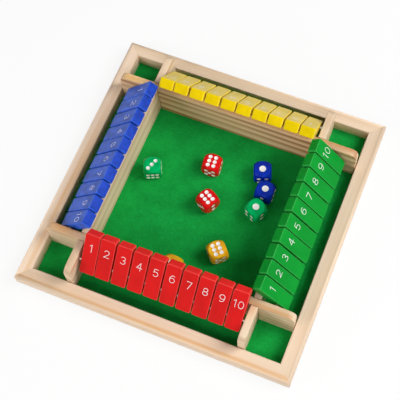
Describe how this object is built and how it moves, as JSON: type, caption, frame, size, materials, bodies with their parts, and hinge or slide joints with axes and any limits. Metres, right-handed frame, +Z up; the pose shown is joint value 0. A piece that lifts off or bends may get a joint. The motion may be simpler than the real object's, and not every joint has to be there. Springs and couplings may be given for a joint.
{
  "type": "shut the box game",
  "caption": "Square wooden dice game with a felt tray, hinged number tiles along all sides and loose dice.",
  "frame": {"origin": "middle of the footprint, on the surface that the board stands on", "axes": "+Z up; the red row lies along -Y, the green row along +X, the yellow row along +Y and the blue row along -X"},
  "size_m": [0.25, 0.25, 0.0554],
  "materials": {
    "pine_frame": "sanded pine, clear satin",
    "pine_inner": "sanded pine, clear satin, stronger grain",
    "felt_green": "green felt cloth glued on a thin wooden board",
    "board_wood": "thin plain board under the felt, its underside is a guess",
    "number_white": "printed white paint",
    "pip_white": "white paint in the dice's dimples",
    "rod_steel": "drawn steel wire",
    "paint_red": "gloss paint on wood",
    "paint_green": "gloss paint on wood",
    "paint_yellow": "gloss paint on wood",
    "paint_blue": "gloss paint on wood",
    "die_red": "polished acrylic, white pips",
    "die_green": "polished acrylic, white pips",
    "die_blue": "polished acrylic, white pips",
    "die_yellow": "polished acrylic, white pips"
  },
  "bodies": {
    "board": {"base_panel": "felt_green", "frame_rail_front": "pine_frame", "inner_rail_front": "pine_inner", "hinge_rod_front": "rod_steel", "frame_rail_right": "pine_frame", "inner_rail_right": "pine_inner", "hinge_rod_right": "rod_steel", "frame_rail_back": "pine_frame", "inner_rail_back": "pine_inner", "hinge_rod_back": "rod_steel", "frame_rail_left": "pine_frame", "inner_rail_left": "pine_inner", "hinge_rod_left": "rod_steel"},
    "tile_red_01": {"tile_red_01": "paint_red"},
    "tile_red_02": {"tile_red_02": "paint_red"},
    "tile_red_03": {"tile_red_03": "paint_red"},
    "tile_red_04": {"tile_red_04": "paint_red"},
    "tile_red_05": {"tile_red_05": "paint_red"},
    "tile_red_06": {"tile_red_06": "paint_red"},
    "tile_red_07": {"tile_red_07": "paint_red"},
    "tile_red_08": {"tile_red_08": "paint_red"},
    "tile_red_09": {"tile_red_09": "paint_red"},
    "tile_red_10": {"tile_red_10": "paint_red"},
    "tile_green_01": {"tile_green_01": "paint_green"},
    "tile_green_02": {"tile_green_02": "paint_green"},
    "tile_green_03": {"tile_green_03": "paint_green"},
    "tile_green_04": {"tile_green_04": "paint_green"},
    "tile_green_05": {"tile_green_05": "paint_green"},
    "tile_green_06": {"tile_green_06": "paint_green"},
    "tile_green_07": {"tile_green_07": "paint_green"},
    "tile_green_08": {"tile_green_08": "paint_green"},
    "tile_green_09": {"tile_green_09": "paint_green"},
    "tile_green_10": {"tile_green_10": "paint_green"},
    "tile_yellow_01": {"tile_yellow_01": "paint_yellow"},
    "tile_yellow_02": {"tile_yellow_02": "paint_yellow"},
    "tile_yellow_03": {"tile_yellow_03": "paint_yellow"},
    "tile_yellow_04": {"tile_yellow_04": "paint_yellow"},
    "tile_yellow_05": {"tile_yellow_05": "paint_yellow"},
    "tile_yellow_06": {"tile_yellow_06": "paint_yellow"},
    "tile_yellow_07": {"tile_yellow_07": "paint_yellow"},
    "tile_yellow_08": {"tile_yellow_08": "paint_yellow"},
    "tile_yellow_09": {"tile_yellow_09": "paint_yellow"},
    "tile_yellow_10": {"tile_yellow_10": "paint_yellow"},
    "tile_blue_01": {"tile_blue_01": "paint_blue"},
    "tile_blue_02": {"tile_blue_02": "paint_blue"},
    "tile_blue_03": {"tile_blue_03": "paint_blue"},
    "tile_blue_04": {"tile_blue_04": "paint_blue"},
    "tile_blue_05": {"tile_blue_05": "paint_blue"},
    "tile_blue_06": {"tile_blue_06": "paint_blue"},
    "tile_blue_07": {"tile_blue_07": "paint_blue"},
    "tile_blue_08": {"tile_blue_08": "paint_blue"},
    "tile_blue_09": {"tile_blue_09": "paint_blue"},
    "tile_blue_10": {"tile_blue_10": "paint_blue"},
    "die_green_a": {"die_green_a": "die_green"},
    "die_red_a": {"die_red_a": "die_red"},
    "die_red_b": {"die_red_b": "die_red"},
    "die_blue_b": {"die_blue_b": "die_blue"},
    "die_blue_a": {"die_blue_a": "die_blue"},
    "die_green_b": {"die_green_b": "die_green"},
    "die_yellow_a": {"die_yellow_a": "die_yellow"}
  },
  "joints": [
    {"name": "flip_red_01", "type": "hinge", "parent": "board", "child": "tile_red_01", "pos_m": [-0.06458, -0.0936, 0.0306], "axis": [1, 0, 0], "range_deg": [0, 151.9]},
    {"name": "flip_red_02", "type": "hinge", "parent": "board", "child": "tile_red_02", "pos_m": [-0.05061, -0.0936, 0.0306], "axis": [1, 0, 0], "range_deg": [0, 151.9]},
    {"name": "flip_red_03", "type": "hinge", "parent": "board", "child": "tile_red_03", "pos_m": [-0.03583, -0.0936, 0.0306], "axis": [1, 0, 0], "range_deg": [0, 151.9]},
    {"name": "flip_red_04", "type": "hinge", "parent": "board", "child": "tile_red_04", "pos_m": [-0.02119, -0.0936, 0.0306], "axis": [1, 0, 0], "range_deg": [0, 151.9]},
    {"name": "flip_red_05", "type": "hinge", "parent": "board", "child": "tile_red_05", "pos_m": [-0.00674, -0.0936, 0.0306], "axis": [1, 0, 0], "range_deg": [0, 151.9]},
    {"name": "flip_red_06", "type": "hinge", "parent": "board", "child": "tile_red_06", "pos_m": [0.00787, -0.0936, 0.0306], "axis": [1, 0, 0], "range_deg": [0, 151.9]},
    {"name": "flip_red_07", "type": "hinge", "parent": "board", "child": "tile_red_07", "pos_m": [0.02251, -0.0936, 0.0306], "axis": [1, 0, 0], "range_deg": [0, 151.9]},
    {"name": "flip_red_08", "type": "hinge", "parent": "board", "child": "tile_red_08", "pos_m": [0.03688, -0.0936, 0.0306], "axis": [1, 0, 0], "range_deg": [0, 151.9]},
    {"name": "flip_red_09", "type": "hinge", "parent": "board", "child": "tile_red_09", "pos_m": [0.05138, -0.0936, 0.0306], "axis": [1, 0, 0], "range_deg": [0, 151.9]},
    {"name": "flip_red_10", "type": "hinge", "parent": "board", "child": "tile_red_10", "pos_m": [0.06568, -0.0936, 0.0306], "axis": [1, 0, 0], "range_deg": [0, 151.9]},
    {"name": "flip_green_01", "type": "hinge", "parent": "board", "child": "tile_green_01", "pos_m": [0.0936, -0.06503, 0.0306], "axis": [0, 1, 0], "range_deg": [0, 151.9]},
    {"name": "flip_green_02", "type": "hinge", "parent": "board", "child": "tile_green_02", "pos_m": [0.0936, -0.05066, 0.0306], "axis": [0, 1, 0], "range_deg": [0, 151.9]},
    {"name": "flip_green_03", "type": "hinge", "parent": "board", "child": "tile_green_03", "pos_m": [0.0936, -0.03631, 0.0306], "axis": [0, 1, 0], "range_deg": [0, 151.9]},
    {"name": "flip_green_04", "type": "hinge", "parent": "board", "child": "tile_green_04", "pos_m": [0.0936, -0.0215, 0.0306], "axis": [0, 1, 0], "range_deg": [0, 151.9]},
    {"name": "flip_green_05", "type": "hinge", "parent": "board", "child": "tile_green_05", "pos_m": [0.0936, -0.0073, 0.0306], "axis": [0, 1, 0], "range_deg": [0, 151.9]},
    {"name": "flip_green_06", "type": "hinge", "parent": "board", "child": "tile_green_06", "pos_m": [0.0936, 0.00756, 0.0306], "axis": [0, 1, 0], "range_deg": [0, 151.9]},
    {"name": "flip_green_07", "type": "hinge", "parent": "board", "child": "tile_green_07", "pos_m": [0.0936, 0.02189, 0.0306], "axis": [0, 1, 0], "range_deg": [0, 151.9]},
    {"name": "flip_green_08", "type": "hinge", "parent": "board", "child": "tile_green_08", "pos_m": [0.0936, 0.03657, 0.0306], "axis": [0, 1, 0], "range_deg": [0, 151.9]},
    {"name": "flip_green_09", "type": "hinge", "parent": "board", "child": "tile_green_09", "pos_m": [0.0936, 0.05099, 0.0306], "axis": [0, 1, 0], "range_deg": [0, 151.9]},
    {"name": "flip_green_10", "type": "hinge", "parent": "board", "child": "tile_green_10", "pos_m": [0.0936, 0.06537, 0.0306], "axis": [0, 1, 0], "range_deg": [0, 151.9]},
    {"name": "flip_yellow_01", "type": "hinge", "parent": "board", "child": "tile_yellow_01", "pos_m": [0.06534, 0.0936, 0.0306], "axis": [-1, 0, 0], "range_deg": [0, 151.9]},
    {"name": "flip_yellow_02", "type": "hinge", "parent": "board", "child": "tile_yellow_02", "pos_m": [0.05111, 0.0936, 0.0306], "axis": [-1, 0, 0], "range_deg": [0, 151.9]},
    {"name": "flip_yellow_03", "type": "hinge", "parent": "board", "child": "tile_yellow_03", "pos_m": [0.03638, 0.0936, 0.0306], "axis": [-1, 0, 0], "range_deg": [0, 151.9]},
    {"name": "flip_yellow_04", "type": "hinge", "parent": "board", "child": "tile_yellow_04", "pos_m": [0.02205, 0.0936, 0.0306], "axis": [-1, 0, 0], "range_deg": [0, 151.9]},
    {"name": "flip_yellow_05", "type": "hinge", "parent": "board", "child": "tile_yellow_05", "pos_m": [0.00725, 0.0936, 0.0306], "axis": [-1, 0, 0], "range_deg": [0, 151.9]},
    {"name": "flip_yellow_06", "type": "hinge", "parent": "board", "child": "tile_yellow_06", "pos_m": [-0.00713, 0.0936, 0.0306], "axis": [-1, 0, 0], "range_deg": [0, 151.9]},
    {"name": "flip_yellow_07", "type": "hinge", "parent": "board", "child": "tile_yellow_07", "pos_m": [-0.02181, 0.0936, 0.0306], "axis": [-1, 0, 0], "range_deg": [0, 151.9]},
    {"name": "flip_yellow_08", "type": "hinge", "parent": "board", "child": "tile_yellow_08", "pos_m": [-0.03628, 0.0936, 0.0306], "axis": [-1, 0, 0], "range_deg": [0, 151.9]},
    {"name": "flip_yellow_09", "type": "hinge", "parent": "board", "child": "tile_yellow_09", "pos_m": [-0.05114, 0.0936, 0.0306], "axis": [-1, 0, 0], "range_deg": [0, 151.9]},
    {"name": "flip_yellow_10", "type": "hinge", "parent": "board", "child": "tile_yellow_10", "pos_m": [-0.06506, 0.0936, 0.0306], "axis": [-1, 0, 0], "range_deg": [0, 151.9]},
    {"name": "flip_blue_01", "type": "hinge", "parent": "board", "child": "tile_blue_01", "pos_m": [-0.0936, 0.06508, 0.0306], "axis": [0, -1, 0], "range_deg": [0, 151.9]},
    {"name": "flip_blue_02", "type": "hinge", "parent": "board", "child": "tile_blue_02", "pos_m": [-0.0936, 0.05126, 0.0306], "axis": [0, -1, 0], "range_deg": [0, 151.9]},
    {"name": "flip_blue_03", "type": "hinge", "parent": "board", "child": "tile_blue_03", "pos_m": [-0.0936, 0.03628, 0.0306], "axis": [0, -1, 0], "range_deg": [0, 151.9]},
    {"name": "flip_blue_04", "type": "hinge", "parent": "board", "child": "tile_blue_04", "pos_m": [-0.0936, 0.0215, 0.0306], "axis": [0, -1, 0], "range_deg": [0, 151.9]},
    {"name": "flip_blue_05", "type": "hinge", "parent": "board", "child": "tile_blue_05", "pos_m": [-0.0936, 0.00758, 0.0306], "axis": [0, -1, 0], "range_deg": [0, 151.9]},
    {"name": "flip_blue_06", "type": "hinge", "parent": "board", "child": "tile_blue_06", "pos_m": [-0.0936, -0.00725, 0.0306], "axis": [0, -1, 0], "range_deg": [0, 151.9]},
    {"name": "flip_blue_07", "type": "hinge", "parent": "board", "child": "tile_blue_07", "pos_m": [-0.0936, -0.02193, 0.0306], "axis": [0, -1, 0], "range_deg": [0, 151.9]},
    {"name": "flip_blue_08", "type": "hinge", "parent": "board", "child": "tile_blue_08", "pos_m": [-0.0936, -0.03624, 0.0306], "axis": [0, -1, 0], "range_deg": [0, 151.9]},
    {"name": "flip_blue_09", "type": "hinge", "parent": "board", "child": "tile_blue_09", "pos_m": [-0.0936, -0.05095, 0.0306], "axis": [0, -1, 0], "range_deg": [0, 151.9]},
    {"name": "flip_blue_10", "type": "hinge", "parent": "board", "child": "tile_blue_10", "pos_m": [-0.0936, -0.06522, 0.0306], "axis": [0, -1, 0], "range_deg": [0, 151.9]},
    {"name": "lift_green_a", "type": "slide", "parent": "board", "child": "die_green_a", "axis": [0, 0, 1], "range_m": [0, 0.07]},
    {"name": "lift_red_a", "type": "slide", "parent": "board", "child": "die_red_a", "axis": [0, 0, 1], "range_m": [0, 0.07]},
    {"name": "lift_red_b", "type": "slide", "parent": "board", "child": "die_red_b", "axis": [0, 0, 1], "range_m": [0, 0.07]},
    {"name": "lift_blue_b", "type": "slide", "parent": "board", "child": "die_blue_b", "axis": [0, 0, 1], "range_m": [0, 0.07]},
    {"name": "lift_blue_a", "type": "slide", "parent": "board", "child": "die_blue_a", "axis": [0, 0, 1], "range_m": [0, 0.07]},
    {"name": "lift_green_b", "type": "slide", "parent": "board", "child": "die_green_b", "axis": [0, 0, 1], "range_m": [0, 0.07]},
    {"name": "lift_yellow_a", "type": "slide", "parent": "board", "child": "die_yellow_a", "axis": [0, 0, 1], "range_m": [0, 0.07]}
  ]
}
